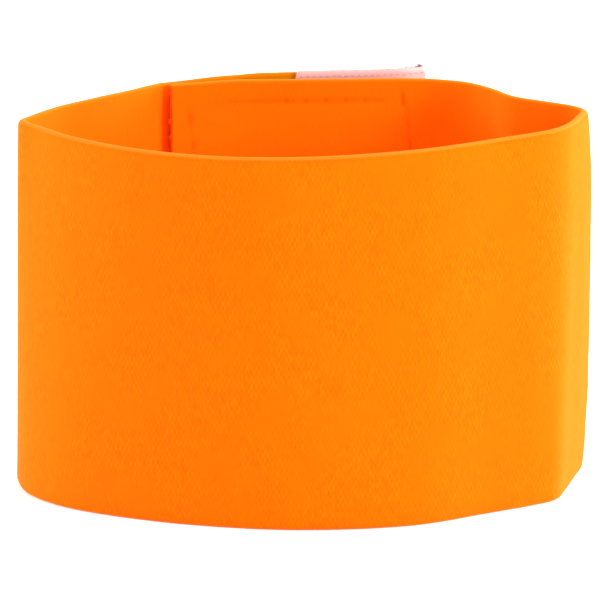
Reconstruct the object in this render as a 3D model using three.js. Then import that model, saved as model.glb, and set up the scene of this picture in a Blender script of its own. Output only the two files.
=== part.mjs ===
// Armband: one strip of wide woven elastic run round into an upright loop that overlaps itself at the
// back. The inner end carries a soft loop patch on its outer face. The outer end carries a stiff hook
// tape on its inner face, which presses onto the patch and shows past the cut end as a short tab.
// Millimetres, +Z up. The origin is at the middle of the footprint, on the surface the band stands on.
import * as THREE from "three";

// Elastic strip
const STRIP_WIDTH = 70;
const STRIP_THICKNESS = 1.5;

// Closure
const LAYER_GAP = 0.3;
const PATCH_THICKNESS = 0.8;
const PATCH_LOW = 2.1;
const PATCH_HIGH = 67.9;
const TAPE_THICKNESS = 0.8;

// Distances from the middle of the inner layer to the middle of each layer stacked behind it
const PATCH_LIFT = STRIP_THICKNESS / 2 + LAYER_GAP + PATCH_THICKNESS / 2;
const TAPE_LIFT = PATCH_LIFT + PATCH_THICKNESS / 2 + LAYER_GAP + TAPE_THICKNESS / 2;
const OUTER_LIFT = TAPE_LIFT + TAPE_THICKNESS / 2 + LAYER_GAP + STRIP_THICKNESS / 2;

// How finely the pieces are faceted
const STEP_LENGTH = 3;
const STEP_TURN = THREE.MathUtils.degToRad(8);
const LEVELS = [0, 0.15, 0.35, 0.55, 0.75, 0.9, 1];

// The belly is nearly flat over most of the height and turns in close to the two edges
const BELLY_POWER = 4;

// Sections of the strip from its inner cut end round to the overlap, one row for each section or fold.
// rim and foot are where the middle of the wall stands, [x, y], at the upper and the lower edge.
// A row may also state top, the height of the upper edge, low, the height of the lower edge, and belly,
// how far the wall bows out between the edges. USUAL holds their values where it doesn't.
const USUAL = { low: 0, top: STRIP_WIDTH, belly: 0 };
const SECTIONS = [
  { name: "inner_end", rim: [-24.7, 24.3], foot: [-24.3, 18.6], top: 69.7 },
  { name: "patch_left", rim: [-22.2, 24.9], foot: [-21.7, 19.0], top: 69.7 },
  { name: "tape_left", rim: [-13.0, 26.9], foot: [-12.5, 20.3], top: 69.9 },
  { name: "back_left", rim: [-7.0, 27.6], foot: [-6.5, 20.7], top: 69.8 },
  { name: "tape_step", rim: [-1.2, 27.9], foot: [-0.6, 21.0], top: 69.8 },
  { name: "outer_end", rim: [-1.1, 27.9], foot: [-0.5, 21.0], top: 69.8 },
  { name: "back_right", rim: [9.0, 28.3], foot: [9.8, 21.3], top: 69.8 },
  { name: "patch_right", rim: [20.0, 28.5], foot: [21.4, 21.2], top: 69.8 },
  { name: "bend_start", rim: [25.2, 27.4], foot: [27.2, 20.7], top: 69.9 },
  { name: "bend_high", rim: [30.5, 24.7], foot: [33.0, 19.8] },
  { name: "bend_middle", rim: [34.8, 20.1], foot: [38.5, 18.5], belly: -0.4 },
  { name: "bend_low", rim: [38.8, 14.0], foot: [43.0, 16.9], belly: -0.6 },
  { name: "saddle", rim: [44.0, 10.4], foot: [47.0, 15.1], belly: -0.2 },
  { name: "right_back", rim: [49.6, 6.7], foot: [50.4, 13.1], belly: 0.5 },
  { name: "right_corner", rim: [51.7, 3.6], foot: [51.2, 8.7], belly: 1.0 },
  { name: "right_side", rim: [50.9, -0.5], foot: [49.8, 1.5], belly: 1.0 },
  { name: "crease_back", rim: [49.5, -5.4], foot: [47.6, -8.7], belly: 0.4 },
  { name: "crease", rim: [48.0, -8.7], foot: [46.3, -13.4], belly: 0.2 },
  { name: "crease_front", rim: [45.2, -12.0], foot: [43.1, -16.2], belly: 0.2 },
  { name: "front_right", rim: [36.0, -18.1], foot: [34.0, -22.0], belly: 0.2 },
  { name: "front_middle_right", rim: [22.0, -26.2], foot: [20.0, -30.2], belly: 0.2 },
  { name: "front_middle", rim: [3.0, -31.9], foot: [0.0, -33.2], belly: 0.2 },
  { name: "front_middle_left", rim: [-15.0, -31.8], foot: [-17.0, -30.7], belly: 0.2 },
  { name: "front_left", rim: [-31.0, -25.8], foot: [-32.5, -25.0], belly: 0.2 },
  { name: "left_front", rim: [-42.8, -16.5], foot: [-44.2, -17.7], belly: 0.2 },
  { name: "left_turn", rim: [-49.2, -8.3], foot: [-50.3, -9.9], belly: 0.3 },
  { name: "left_corner", rim: [-51.8, -4.5], foot: [-52.1, -3.1], belly: 0.1 },
  { name: "left_back", rim: [-50.4, -1.6], foot: [-52.2, 2.5] },
  { name: "left_wall", rim: [-45.1, 6.1], foot: [-48.4, 9.2] },
  { name: "left_slope", rim: [-38.3, 12.9], foot: [-40.5, 15.3] },
  { name: "kink_start", rim: [-30.9, 20.6], foot: [-31.9, 19.0], top: 69.8 },
  { name: "kink", rim: [-26.9, 25.1], foot: [-27.3, 20.4], top: 69.7 },
];

// Where the outer layer lies behind the inner one, and how far the middles of the two are apart
const OVERLAP = [
  { name: "over_inner_end", over: "inner_end", lift: 2.1, top: 69.6 },
  { name: "over_patch_left", over: "patch_left", lift: 3.0, top: 69.5 },
  { name: "over_tape_left", over: "tape_left", lift: OUTER_LIFT, top: 69.8 },
  { name: "over_back_left", over: "back_left", lift: OUTER_LIFT, top: 70.1 },
  { name: "outer_cut", over: "outer_end", lift: OUTER_LIFT, top: 70.2 },
];

// The tape's sewn part is trimmed at top and bottom to lie inside the strip, and its tab is full width
const TAPE_SEWN = [
  { name: "sewn_edge", over: "tape_left", lift: TAPE_LIFT, top: 69.1, low: 2.0 },
  { name: "sewn_middle", over: "back_left", lift: TAPE_LIFT, top: 69.1, low: 2.0 },
  { name: "sewn_end", over: "tape_step", lift: TAPE_LIFT, top: 69.1, low: 2.0 },
  { name: "tab_start", over: "outer_end", lift: TAPE_LIFT, top: 70.7, low: 1.0 },
  { name: "tab_middle", over: "back_right", lift: TAPE_LIFT, top: 70.8, low: 1.0 },
];

// Past the patch the tab leaves the loop in a straight line, and its tip peels away a little
const TAPE_TAB = [
  { name: "tab_bend", rim: [15.6, 31.2], foot: [16.6, 24.1], top: 70.9, low: 1.0 },
  { name: "tab_peel", rim: [19.3, 31.9], foot: [20.3, 24.8], top: 70.9, low: 1.0 },
  { name: "tab_corner", rim: [22.0, 33.1], foot: [22.9, 26.0], top: 70.9, low: 1.0 },
  { name: "tab_tip", rim: [22.9, 33.5], foot: [23.8, 26.4], top: 70.5, low: 1.4 },
];

function splineThrough(rows, edge) {
  const points = rows.map((row) => new THREE.Vector3(row[edge][0], row[edge][1], 0));
  return new THREE.CatmullRomCurve3(points, false, "centripetal");
}

// A route is a pair of splines, at the upper and lower edge, that share one parameter.
// The parameter is 0 at the first row and goes up by 1 from row to row.
function makeRoute(statedRows) {
  const rows = statedRows.map((row) => ({ ...USUAL, ...row }));
  const spans = rows.length - 1;
  const rim = splineThrough(rows, "rim");
  const foot = splineThrough(rows, "foot");
  const between = (key, at) => {
    const row = Math.min(Math.floor(at), spans - 1);
    const share = THREE.MathUtils.smoothstep(at - row, 0, 1);
    return THREE.MathUtils.lerp(rows[row][key], rows[row + 1][key], share);
  };
  return {
    spans,
    indexOf: (name) => rows.findIndex((row) => row.name === name),
    rimPoint: (at) => rim.getPoint(at / spans),
    footPoint: (at) => foot.getPoint(at / spans),
    topAt: (at) => between("top", at),
    lowAt: (at) => between("low", at),
    bellyAt: (at) => between("belly", at),
  };
}

// The direction across the wall, out of the loop, at a share of the strip's width above the foot
function outwardAt(route, at, share) {
  const reach = 0.02;
  const back = Math.max(at - reach, 0);
  const ahead = Math.min(at + reach, route.spans);
  const from = route.footPoint(back).lerp(route.rimPoint(back), share);
  const to = route.footPoint(ahead).lerp(route.rimPoint(ahead), share);
  const along = to.sub(from).normalize();
  return new THREE.Vector3(-along.y, along.x, 0);
}

// A point at height z, moved out of the loop by offset from the middle of the wall
function wallPoint(route, at, z, offset) {
  const share = z / STRIP_WIDTH;
  const bow = Math.max(1 - Math.pow(2 * share - 1, BELLY_POWER), 0);
  const point = route.footPoint(at).lerp(route.rimPoint(at), share);
  point.addScaledVector(outwardAt(route, at, share), route.bellyAt(at) * bow + offset);
  return point.setZ(z);
}

// Places along a route for the vertical facets, closer together where the wall turns
function stationsBetween(route, first, last) {
  const stations = [first];
  for (let row = first; row < last; row += 1) {
    const length = Math.max(
      route.rimPoint(row).distanceTo(route.rimPoint(row + 1)),
      route.footPoint(row).distanceTo(route.footPoint(row + 1)),
    );
    const turn = Math.max(
      outwardAt(route, row, 0).angleTo(outwardAt(route, row + 1, 0)),
      outwardAt(route, row, 1).angleTo(outwardAt(route, row + 1, 1)),
    );
    const steps = Math.ceil(Math.max(length / STEP_LENGTH, turn / STEP_TURN));
    for (let step = 1; step <= steps; step += 1) {
      stations.push(row + step / steps);
    }
  }
  return stations;
}

// One closed layer of cloth along a route: an inner and an outer face joined at its four edges
function layerGeometry({ route, first, last, offset, thickness, lowAt, highAt }) {
  const stations = stationsBetween(route, first, last);
  const levels = LEVELS.length;
  const faceSize = stations.length * levels;
  const positions = [];
  for (const side of [-thickness / 2, thickness / 2]) {
    for (const at of stations) {
      for (const level of LEVELS) {
        const z = THREE.MathUtils.lerp(lowAt(at), highAt(at), level);
        positions.push(...wallPoint(route, at, z, offset + side).toArray());
      }
    }
  }
  const inner = (station, level) => station * levels + level;
  const outer = (station, level) => faceSize + inner(station, level);
  const indices = [];
  const addQuad = (a, b, c, d) => indices.push(a, b, c, a, c, d);
  for (let s = 0; s < stations.length - 1; s += 1) {
    for (let v = 0; v < levels - 1; v += 1) {
      addQuad(inner(s, v), inner(s + 1, v), inner(s + 1, v + 1), inner(s, v + 1));
      addQuad(outer(s, v), outer(s, v + 1), outer(s + 1, v + 1), outer(s + 1, v));
    }
    addQuad(inner(s, 0), outer(s, 0), outer(s + 1, 0), inner(s + 1, 0));
    const top = levels - 1;
    addQuad(inner(s, top), inner(s + 1, top), outer(s + 1, top), outer(s, top));
  }
  const end = stations.length - 1;
  for (let v = 0; v < levels - 1; v += 1) {
    addQuad(inner(0, v), inner(0, v + 1), outer(0, v + 1), outer(0, v));
    addQuad(inner(end, v), outer(end, v), outer(end, v + 1), inner(end, v + 1));
  }
  const geometry = new THREE.BufferGeometry();
  geometry.setAttribute("position", new THREE.Float32BufferAttribute(positions, 3));
  geometry.setIndex(indices);
  geometry.computeVertexNormals();
  return geometry;
}

function namedMesh(name, geometry, color, roughness) {
  const material = new THREE.MeshStandardMaterial({ color, roughness, metalness: 0 });
  const mesh = new THREE.Mesh(geometry, material);
  mesh.name = name;
  return mesh;
}

// A row that stands behind a section of the inner layer, at a distance from its middle
function rowBehind(loop, row) {
  const at = loop.indexOf(row.over);
  const place = (point, share) => {
    const moved = point.addScaledVector(outwardAt(loop, at, share), row.lift);
    return [moved.x, moved.y];
  };
  return { ...row, rim: place(loop.rimPoint(at), 1), foot: place(loop.footPoint(at), 0) };
}

function elasticBand(strip) {
  const geometry = layerGeometry({
    route: strip,
    first: 0,
    last: strip.spans,
    offset: 0,
    thickness: STRIP_THICKNESS,
    lowAt: strip.lowAt,
    highAt: strip.topAt,
  });
  return namedMesh("elastic_band", geometry, 0xf3710a, 0.85);
}

function loopPatch(strip) {
  const geometry = layerGeometry({
    route: strip,
    first: strip.indexOf("patch_left"),
    last: strip.indexOf("patch_right"),
    offset: PATCH_LIFT,
    thickness: PATCH_THICKNESS,
    lowAt: () => PATCH_LOW,
    highAt: () => PATCH_HIGH,
  });
  return namedMesh("loop_patch", geometry, 0xec6c10, 0.95);
}

function hookTape(loop) {
  const tape = makeRoute([...TAPE_SEWN.map((row) => rowBehind(loop, row)), ...TAPE_TAB]);
  const geometry = layerGeometry({
    route: tape,
    first: 0,
    last: tape.spans,
    offset: 0,
    thickness: TAPE_THICKNESS,
    lowAt: tape.lowAt,
    highAt: tape.topAt,
  });
  return namedMesh("hook_tape", geometry, 0xf4cfcb, 0.55);
}

function buildArmband() {
  const loop = makeRoute(SECTIONS);
  const strip = makeRoute([...SECTIONS, ...OVERLAP.map((row) => rowBehind(loop, row))]);
  const armband = new THREE.Group();
  armband.add(elasticBand(strip), loopPatch(strip), hookTape(loop));
  return armband;
}

export default buildArmband();
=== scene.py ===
import math
from collections import namedtuple

import bpy
import numpy as np
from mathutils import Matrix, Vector


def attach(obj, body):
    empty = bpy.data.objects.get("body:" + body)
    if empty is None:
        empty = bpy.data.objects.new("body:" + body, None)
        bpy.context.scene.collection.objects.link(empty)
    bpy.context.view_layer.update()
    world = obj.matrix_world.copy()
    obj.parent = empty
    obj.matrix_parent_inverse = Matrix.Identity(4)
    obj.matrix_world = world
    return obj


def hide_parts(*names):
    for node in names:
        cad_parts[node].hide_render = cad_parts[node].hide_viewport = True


bl_info = {
    "name": "Elastic Armband",
    "version": (1, 0, 0),
    "blender": (4, 5, 0),
    "location": "View3D > Sidebar > Armband",
    "description": "Builds a woven elastic armband with a hook-and-loop closure, and its stage",
    "category": "Object",
}

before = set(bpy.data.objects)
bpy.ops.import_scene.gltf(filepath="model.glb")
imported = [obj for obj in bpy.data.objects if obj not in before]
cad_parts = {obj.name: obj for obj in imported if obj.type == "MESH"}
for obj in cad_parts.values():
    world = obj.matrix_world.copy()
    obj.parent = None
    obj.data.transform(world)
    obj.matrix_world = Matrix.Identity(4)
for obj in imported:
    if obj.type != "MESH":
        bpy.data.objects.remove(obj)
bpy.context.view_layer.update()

MM = 0.001
STRIP_WIDTH = 70 * MM
PATCH_LOW = 2.1 * MM
PATCH_HIGH = 67.9 * MM
LAYER_GAP = 0.3 * MM
STRIP_THICKNESS = 1.5 * MM
PATCH_THICKNESS = 0.8 * MM
TAPE_THICKNESS = 0.8 * MM

# Distances from the middle of the inner layer to the middle of each layer stacked behind it
PATCH_LIFT = STRIP_THICKNESS / 2 + LAYER_GAP + PATCH_THICKNESS / 2
TAPE_LIFT = PATCH_LIFT + PATCH_THICKNESS / 2 + LAYER_GAP + TAPE_THICKNESS / 2
OUTER_LIFT = TAPE_LIFT + TAPE_THICKNESS / 2 + LAYER_GAP + STRIP_THICKNESS / 2

# Where the middle of a wall stands at its upper edge (rim) and its lower edge (foot), x and y, how far it
# bows out between them (belly) and the heights of the two edges (top and low), in millimetres. The rows
# run from the strip's inner cut end, at the back, to the right and round.
Row = namedtuple("Row", "name rim foot belly top low", defaults=(0.0, 70.0, 0.0))
SECTIONS = [
    Row("inner_end", (-24.7, 24.3), (-24.3, 18.6), top=69.7),
    Row("patch_left", (-22.2, 24.9), (-21.7, 19.0), top=69.7),
    Row("tape_left", (-13.0, 26.9), (-12.5, 20.3), top=69.9),
    Row("back_left", (-7.0, 27.6), (-6.5, 20.7), top=69.8),
    Row("tape_step", (-1.2, 27.9), (-0.6, 21.0), top=69.8),
    Row("outer_end", (-1.1, 27.9), (-0.5, 21.0), top=69.8),
    Row("back_right", (9.0, 28.3), (9.8, 21.3), top=69.8),
    Row("patch_right", (20.0, 28.5), (21.4, 21.2), top=69.8),
    Row("bend_start", (25.2, 27.4), (27.2, 20.7), top=69.9),
    Row("bend_high", (30.5, 24.7), (33.0, 19.8)),
    Row("bend_middle", (34.8, 20.1), (38.5, 18.5), -0.4),
    Row("bend_low", (38.8, 14.0), (43.0, 16.9), -0.6),
    Row("saddle", (44.0, 10.4), (47.0, 15.1), -0.2),
    Row("right_back", (49.6, 6.7), (50.4, 13.1), 0.5),
    Row("right_corner", (51.7, 3.6), (51.2, 8.7), 1.0),
    Row("right_side", (50.9, -0.5), (49.8, 1.5), 1.0),
    Row("crease_back", (49.5, -5.4), (47.6, -8.7), 0.4),
    Row("crease", (48.0, -8.7), (46.3, -13.4), 0.2),
    Row("crease_front", (45.2, -12.0), (43.1, -16.2), 0.2),
    Row("front_right", (36.0, -18.1), (34.0, -22.0), 0.2),
    Row("front_middle_right", (22.0, -26.2), (20.0, -30.2), 0.2),
    Row("front_middle", (3.0, -31.9), (0.0, -33.2), 0.2),
    Row("front_middle_left", (-15.0, -31.8), (-17.0, -30.7), 0.2),
    Row("front_left", (-31.0, -25.8), (-32.5, -25.0), 0.2),
    Row("left_front", (-42.8, -16.5), (-44.2, -17.7), 0.2),
    Row("left_turn", (-49.2, -8.3), (-50.3, -9.9), 0.3),
    Row("left_corner", (-51.8, -4.5), (-52.1, -3.1), 0.1),
    Row("left_back", (-50.4, -1.6), (-52.2, 2.5)),
    Row("left_wall", (-45.1, 6.1), (-48.4, 9.2)),
    Row("left_slope", (-38.3, 12.9), (-40.5, 15.3)),
    Row("kink_start", (-30.9, 20.6), (-31.9, 19.0), top=69.8),
    Row("kink", (-26.9, 25.1), (-27.3, 20.4), top=69.7),
]

# Rows that stand behind a section of the inner layer, by their distance from its middle
Behind = namedtuple("Behind", "name over lift top low", defaults=(70.0, 0.0))
OVERLAP = [
    Behind("over_inner_end", "inner_end", 2.1, 69.6),
    Behind("over_patch_left", "patch_left", 3.0, 69.5),
    Behind("over_tape_left", "tape_left", OUTER_LIFT / MM, 69.8),
    Behind("over_back_left", "back_left", OUTER_LIFT / MM, 70.1),
    Behind("outer_cut", "outer_end", OUTER_LIFT / MM, 70.2),
]
TAPE_SEWN = [
    Behind("sewn_edge", "tape_left", TAPE_LIFT / MM, 69.1, 2.0),
    Behind("sewn_middle", "back_left", TAPE_LIFT / MM, 69.1, 2.0),
    Behind("sewn_end", "tape_step", TAPE_LIFT / MM, 69.1, 2.0),
    Behind("tab_start", "outer_end", TAPE_LIFT / MM, 70.7, 1.0),
    Behind("tab_middle", "back_right", TAPE_LIFT / MM, 70.8, 1.0),
]
TAPE_TAB = [
    Row("tab_bend", (15.6, 31.2), (16.6, 24.1), top=70.9, low=1.0),
    Row("tab_peel", (19.3, 31.9), (20.3, 24.8), top=70.9, low=1.0),
    Row("tab_corner", (22.0, 33.1), (22.9, 26.0), top=70.9, low=1.0),
    Row("tab_tip", (22.9, 33.5), (23.8, 26.4), top=70.5, low=1.4),
]

# A wall's rows as arrays of numbers, one for each column
Route = namedtuple("Route", "names rim foot belly top low")

# A line of stitches round a rectangle: its ends along the strip, its heights, how far its upright sides
# wander, how its stitches pull on its lower, right, upper and left side, and whether a tack stands on its
# upper right corner
Seam = namedtuple("Seam", "left right low high wander pulls tack")

# How the stitches pull at a share of a side's length: the depths of the groove along them and of the
# needle holes, as shares of the full depth, and the groove's width in millimetres. The sides follow each
# other round the rectangle, so the upper one runs to the left and the left one down.
Pull = namedtuple("Pull", "share groove hole width")
EVEN_PULL = [Pull(0.0, 0.35, 0.45, 0.5), Pull(1.0, 0.35, 0.45, 0.5)]
RIGHT_PULL = [Pull(0.0, 0.45, 0.1, 0.5), Pull(0.85, 0.3, 0.1, 0.5), Pull(1.0, 0.1, 0.1, 0.5)]
TOP_PULL = [
    Pull(0.00, 0.10, 0.00, 0.5),
    Pull(0.09, 0.08, 0.00, 0.5),
    Pull(0.11, 0.30, 0.50, 0.5),
    Pull(0.55, 0.32, 0.55, 0.5),
    Pull(0.59, 0.32, 0.05, 0.6),
    Pull(0.81, 0.30, 0.00, 0.6),
    Pull(0.84, 0.06, 0.00, 0.6),
    Pull(1.00, 0.06, 0.00, 0.6),
]
LEFT_PULL = [
    Pull(0.000, 0.08, 0.0, 0.7),
    Pull(0.025, 0.08, 0.0, 0.7),
    Pull(0.035, 0.50, 0.0, 0.7),
    Pull(0.056, 0.50, 0.0, 0.7),
    Pull(0.069, 0.08, 0.0, 0.7),
    Pull(0.111, 0.08, 0.0, 0.6),
    Pull(0.121, 0.50, 0.0, 0.6),
    Pull(0.139, 0.20, 0.0, 0.6),
    Pull(0.153, 0.08, 0.0, 0.6),
    Pull(1.000, 0.08, 0.1, 0.6),
]

# A softbox: its direction from the band in degrees, with azimuth 0 on the camera's side and 90 on the
# right, its distance and sides in metres, and its light in watts
Softbox = namedtuple("Softbox", "name azimuth elevation distance width height watts")


def linear(colour):
    """The linear red, green and blue of an sRGB hex colour."""
    levels = [int(colour[i : i + 2], 16) / 255 for i in (1, 3, 5)]
    return tuple(v / 12.92 if v <= 0.04045 else ((v + 0.055) / 1.055) ** 2.4 for v in levels)


# The shape of the walls


def spline_at(points, at):
    """Points of a centripetal spline; at goes up by 1 from each given point to the next."""
    knots = np.array([2 * points[0] - points[1], *points, 2 * points[-1] - points[-2]])
    gaps = np.sqrt(np.linalg.norm(np.diff(knots, axis=0), axis=1))
    row = np.clip(at.astype(int), 0, len(points) - 2)
    share = (at - row)[:, None]
    before, start, end, after = (knots[row + i] for i in range(4))
    gap_in, gap, gap_out = (gaps[row + i][:, None] for i in range(3))
    leaving = ((start - before) / gap_in - (end - before) / (gap_in + gap) + (end - start) / gap) * gap
    arriving = ((end - start) / gap - (after - start) / (gap + gap_out) + (after - end) / gap_out) * gap
    cubic = 2 * start - 2 * end + leaving + arriving
    square = -3 * start + 3 * end - 2 * leaving - arriving
    return ((cubic * share + square) * share + leaving) * share + start


def eased(values, at):
    """Values of the rows, eased from each row to the next."""
    row = np.clip(at.astype(int), 0, len(values) - 2)
    share = at - row
    share = share * share * (3 - 2 * share)
    return values[row] * (1 - share) + values[row + 1] * share


def leaning(route, at, share):
    """Points between the wall's foot, at share 0, and its rim, at share 1."""
    foot = spline_at(route.foot, at)
    return foot + (spline_at(route.rim, at) - foot) * share[:, None]


def outward(route, at, share):
    """The direction across the wall, out of the loop."""
    reach = 0.02
    last = len(route.names) - 1
    ahead = leaning(route, np.minimum(at + reach, last), share)
    along = ahead - leaning(route, np.maximum(at - reach, 0), share)
    along /= np.linalg.norm(along, axis=1)[:, None]
    return np.column_stack([-along[:, 1], along[:, 0]])


def make_route(rows):
    """A wall's course through those rows, in metres."""
    keys = ("rim", "foot", "belly", "top", "low")
    sizes = [np.array([getattr(row, key) for row in rows], float) * MM for key in keys]
    return Route([row.name for row in rows], *sizes)


def row_behind(loop, row):
    """The row that stands behind a section of the inner layer."""
    at = np.array([float(loop.names.index(row.over))])
    places = []
    for share in (np.ones(1), np.zeros(1)):
        moved = leaning(loop, at, share) + outward(loop, at, share) * row.lift * MM
        places.append(tuple(moved[0] / MM))
    return Row(row.name, *places, top=row.top, low=row.low)


def wall_points(route, at, level):
    """Points of the middle of a wall, at a level from 0, its lower edge, to 1, its upper edge."""
    belly_power = 4
    low = eased(route.low, at)
    z = low + (eased(route.top, at) - low) * level
    share = z / STRIP_WIDTH
    bow = np.maximum(1 - (2 * share - 1) ** belly_power, 0) * eased(route.belly, at)
    xy = leaning(route, at, share) + outward(route, at, share) * bow[:, None]
    return np.column_stack([xy, z])


def softened(points, reach):
    """The line with its bends spread over about reach points each way, and its ends kept."""
    wide = 3 * reach
    weights = np.exp(-0.5 * (np.arange(-wide, wide + 1) / reach) ** 2)
    before = 2 * points[0] - points[wide:0:-1]
    after = 2 * points[-1] - points[-2 : -wide - 2 : -1]
    padded = np.concatenate([before, points, after])
    columns = [np.convolve(column, weights / weights.sum(), "valid") for column in padded.T]
    return np.column_stack(columns)


def wall_samples(route, first, last, level):
    """Close points along a wall at one level, and how far along it each of them is."""
    samples_a_row = 60
    at = np.linspace(first, last, int((last - first) * samples_a_row) + 1)
    line = wall_points(route, at, np.full(len(at), level))
    steps = np.linalg.norm(np.diff(line, axis=0), axis=1)
    return line, np.concatenate([[0], np.cumsum(steps)])


def wall_length(route, first, last):
    """How long a wall is at the middle of its height."""
    _, run = wall_samples(route, first, last, 0.5)
    return run[-1]


def wall_line(route, first, last, level, count):
    """Evenly spaced points along a wall at one level, with the directions out of the loop there."""
    softening = 0.7 * MM
    line, run = wall_samples(route, first, last, level)
    even = np.linspace(0, run[-1], count)
    line = np.column_stack([np.interp(even, run, line[:, k]) for k in range(3)])
    reach = int(softening / (run[-1] / (count - 1)))
    if reach:
        line[:, :2] = softened(line[:, :2], reach)
    along = np.gradient(line, axis=0)
    out = np.column_stack([-along[:, 1], along[:, 0], np.zeros(count)])
    return line, out / np.linalg.norm(out, axis=1)[:, None]


def slab_ring(width, thickness, rounding, heights, arc_steps):
    """Offset and height of the points round a slab's section: up its inner face, over and down again."""
    centre = thickness / 2 - rounding
    turn = np.linspace(0, math.pi / 2, arc_steps + 1)
    inner = [(-centre - rounding * math.sin(a), rounding - rounding * math.cos(a)) for a in turn]
    inner += [(-thickness / 2, height) for height in heights]
    inner += [(offset, width - height) for offset, height in reversed(inner[: arc_steps + 1])]
    outer = [(-offset, height) for offset, height in reversed(inner)]
    return np.array(inner + outer)


def slab_mesh(name, route, first, last, ring, width, count, lift=0.0, relief=None):
    """A closed slab of cloth along a route. relief says how far each point of a ring is moved out."""
    middles = {}
    points = np.zeros((len(ring), count, 3))
    along = np.linspace(0, 1, count)
    for k, (offset, height) in enumerate(ring):
        key = round(height / width, 9)
        if key not in middles:
            middles[key] = wall_line(route, first, last, height / width, count)
        line, out = middles[key]
        shift = relief(offset, height, along) if relief else np.zeros(count)
        points[k] = line + out * (lift + offset + shift)[:, None]
    rings = len(ring)
    index = np.arange(rings * count).reshape(rings, count)
    nxt = np.roll(index, -1, axis=0)
    walls = np.stack([index[:, :-1], index[:, 1:], nxt[:, 1:], nxt[:, :-1]], axis=-1).reshape(-1, 4)
    half = rings // 2
    inner, outer = index[:half], index[: half - 1 : -1]
    start = np.stack([inner[:-1, 0], inner[1:, 0], outer[1:, 0], outer[:-1, 0]], axis=-1)
    end = np.stack([inner[:-1, -1], outer[:-1, -1], outer[1:, -1], inner[1:, -1]], axis=-1)
    faces = np.concatenate([walls, start, end])
    mesh = bpy.data.meshes.new(name)
    mesh.from_pydata(points.reshape(-1, 3).tolist(), [], faces.tolist())
    across = np.concatenate([[0], np.cumsum(np.linalg.norm(np.diff(ring, axis=0), axis=1))])
    store(mesh, "along", np.tile(along, rings))
    store(mesh, "across", np.repeat(across, count))
    unwrap(mesh, ring, across, count, len(walls), len(start))
    mesh.polygons.foreach_set("use_smooth", np.arange(len(faces)) < len(walls))
    mesh.update()
    return mesh


def unwrap(mesh, ring, across, count, walls, cap):
    """Lays the slab's walls flat on its UV map, with the two cut ends beside them."""
    wall_part, cap_part, cap_fill = 0.97, 0.012, 0.8
    u = np.linspace(0, 1, count)
    girth = across[-1] - 2 * ring[0, 0]
    v = np.append(across, girth) / girth * wall_part
    k, i = np.divmod(np.arange(walls), count - 1)
    corners = [(u[i], v[k]), (u[i + 1], v[k]), (u[i + 1], v[k + 1]), (u[i], v[k + 1])]
    flat = [np.stack([np.column_stack(c) for c in corners], axis=1).reshape(-1, 2)]
    for side in (0, 1):
        low = 1 - cap_part * (side + 1)
        step = np.linspace(0, 1, cap + 1)
        sides = np.full(cap, low), np.full(cap, low + cap_part * cap_fill)
        rows = [(step[:-1], sides[0]), (step[1:], sides[0]), (step[1:], sides[1]), (step[:-1], sides[1])]
        if side:
            rows = [rows[0], rows[3], rows[2], rows[1]]
        flat.append(np.stack([np.column_stack(c) for c in rows], axis=1).reshape(-1, 2))
    layer = mesh.uv_layers.new(name="weave")
    layer.data.foreach_set("uv", np.concatenate(flat).ravel())


def store(mesh, name, values, kind="FLOAT"):
    """Keeps a number or a vector for each of the mesh's points."""
    attribute = mesh.attributes.new(name, kind, "POINT")
    key = "value" if kind == "FLOAT" else "vector"
    attribute.data.foreach_set(key, np.asarray(values, np.float32).ravel())


# Node trees


def add(tree, kind, inputs=None, **settings):
    """Adds a node with its settings. For each input, inputs holds a value, another node's socket, or
    another node, which stands for its first output."""
    node = tree.nodes.new(kind)
    for key, value in settings.items():
        setattr(node, key, value)
    for key, value in (inputs or {}).items():
        if isinstance(value, bpy.types.Node):
            value = value.outputs[0]
        if isinstance(value, bpy.types.NodeSocket):
            tree.links.new(value, node.inputs[key])
        else:
            node.inputs[key].default_value = value
    return node


def new_tree(name, inputs):
    """An empty Geometry Nodes tree with named inputs, as (name, socket type, default)."""
    tree = bpy.data.node_groups.new(name, "GeometryNodeTree")
    tree.interface.new_socket("Geometry", in_out="INPUT", socket_type="NodeSocketGeometry")
    for label, kind, default in inputs:
        socket = tree.interface.new_socket(label, in_out="INPUT", socket_type=kind)
        if default is not None:
            socket.default_value = default
    tree.interface.new_socket("Geometry", in_out="OUTPUT", socket_type="NodeSocketGeometry")
    return tree


def rib_tree():
    """Raises crosswise ribs on a slab whose points say how far along it they are."""
    tree = new_tree(
        "Crosswise ribs",
        [
            ("Ribs", "NodeSocketInt", 472),
            ("Rib Height", "NodeSocketFloat", 0.02 * MM),
            ("Material", "NodeSocketMaterial", None),
        ],
    )
    given = tree.nodes.new("NodeGroupInput").outputs
    along = add(tree, "GeometryNodeInputNamedAttribute", {"Name": "along"}, data_type="FLOAT")
    ribs = add(tree, "ShaderNodeMath", {0: along, 1: given["Ribs"]}, operation="MULTIPLY")
    turn = add(tree, "ShaderNodeMath", {0: ribs, 1: math.tau}, operation="MULTIPLY")
    wave = add(tree, "ShaderNodeMath", {0: turn}, operation="COSINE")
    rise = add(tree, "ShaderNodeMath", {0: wave, 1: given["Rib Height"]}, operation="MULTIPLY")
    normal = add(tree, "GeometryNodeInputNormal")
    shift = add(tree, "ShaderNodeVectorMath", {0: normal, 3: rise}, operation="SCALE")
    moved = {"Geometry": given["Geometry"], "Offset": shift}
    raised = add(tree, "GeometryNodeSetPosition", moved)
    finish_tree(tree, raised, given["Material"])
    return tree


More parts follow.
